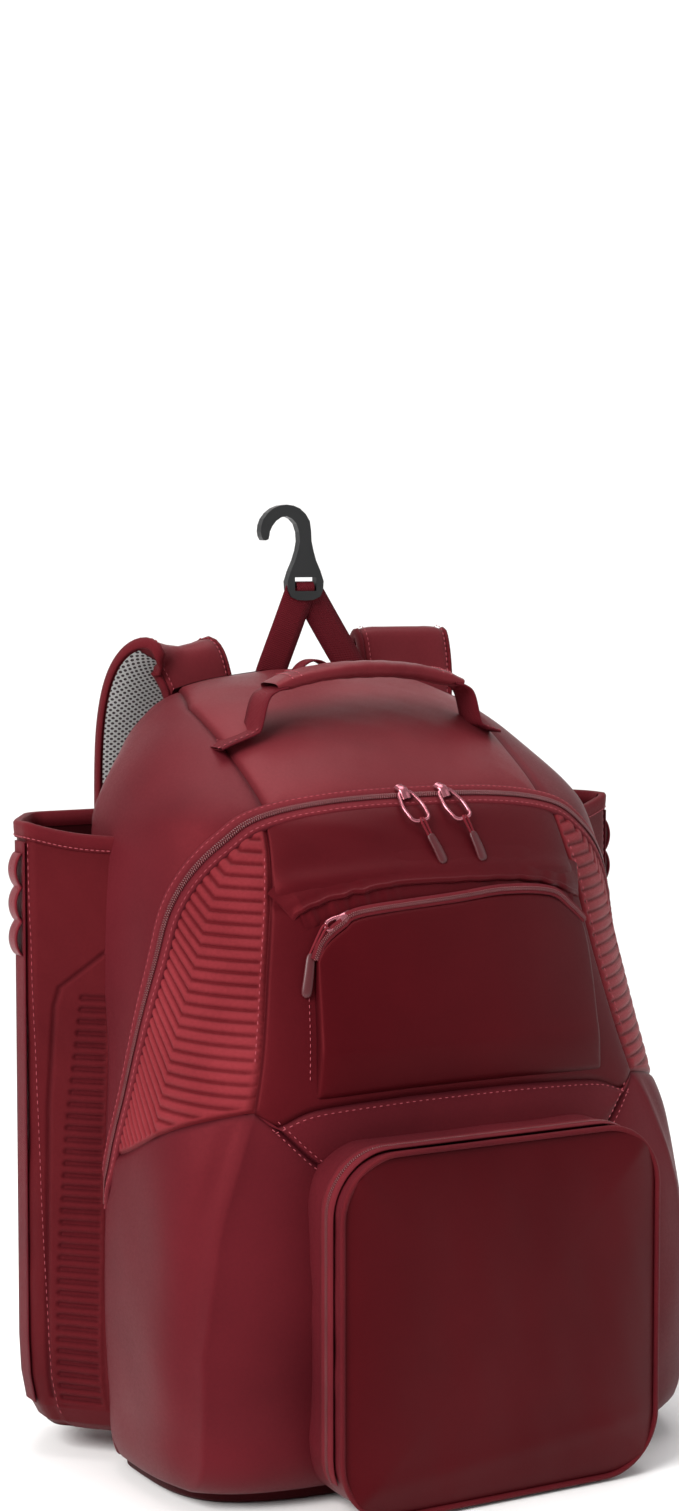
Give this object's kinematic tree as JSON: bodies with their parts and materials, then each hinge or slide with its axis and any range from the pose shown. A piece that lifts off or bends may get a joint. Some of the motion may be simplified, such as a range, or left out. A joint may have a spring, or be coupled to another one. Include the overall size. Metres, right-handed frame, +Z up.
{
  "type": "baseball bat backpack",
  "caption": "Upright sports backpack with open bat sleeves at the sides, boxed front pocket, ribbed shoulder panels, padded straps, grab handle and a fence hook.",
  "frame": {"origin": "the middle of the bounding box, at the ground the backpack stands on", "axes": "+Z up, +X towards the right seen from the front, -Y towards the front with the boxed pocket, +Y towards the wearer's back"},
  "size_m": [0.4422, 0.329, 0.5885],
  "materials": {
    "body_cloth": "coated maroon cloth, slight sheen",
    "dark_cloth": "smooth dark maroon cloth",
    "embossed_cloth": "embossed maroon cloth, satin",
    "sleeve_cloth": "stiff maroon cloth",
    "padded_cloth": "padded maroon cloth",
    "zip_tape": "woven tape with a coil",
    "webbing": "woven webbing",
    "strap_mesh": "open spacer mesh",
    "hook_plastic": "moulded, satin",
    "slider_metal": "painted cast metal",
    "pull_rubber": "soft moulded rubber"
  },
  "bodies": {
    "root": {"back_panel": "dark_cloth", "base_panel": "dark_cloth", "chest_pocket": "dark_cloth", "chest_pull": "pull_rubber", "chest_slider": "slider_metal", "chest_zip": "zip_tape", "chest_zip_hood": "body_cloth", "front_panel": "dark_cloth", "gear_loops_left": "webbing", "gear_loops_right": "webbing", "grab_handle": "padded_cloth", "handle_foot_left": "webbing", "handle_foot_right": "webbing", "hang_hook": "hook_plastic", "hang_webbing": "webbing", "lower_panel": "body_cloth", "lower_pocket_face": "dark_cloth", "lower_pocket_gusset": "dark_cloth", "lower_pocket_piping": "body_cloth", "lower_pocket_zip": "zip_tape", "main_zip": "zip_tape", "ribbed_shoulder_left": "embossed_cloth", "ribbed_shoulder_right": "embossed_cloth", "shoulder_strap_left": "padded_cloth", "shoulder_strap_right": "padded_cloth", "side_panel_left": "body_cloth", "side_panel_right": "body_cloth", "side_sleeve_left": "sleeve_cloth", "side_sleeve_right": "sleeve_cloth", "sleeve_binding_left": "body_cloth", "sleeve_binding_right": "body_cloth", "strap_mesh_left": "strap_mesh", "strap_mesh_right": "strap_mesh", "strap_webbing_left": "webbing", "strap_webbing_right": "webbing", "top_loop": "webbing", "top_panel": "body_cloth", "yoke_panel": "body_cloth", "zip_pull_left": "pull_rubber", "zip_pull_right": "pull_rubber", "zip_slider_left": "slider_metal", "zip_slider_right": "slider_metal"}
  },
  "joints": []
}
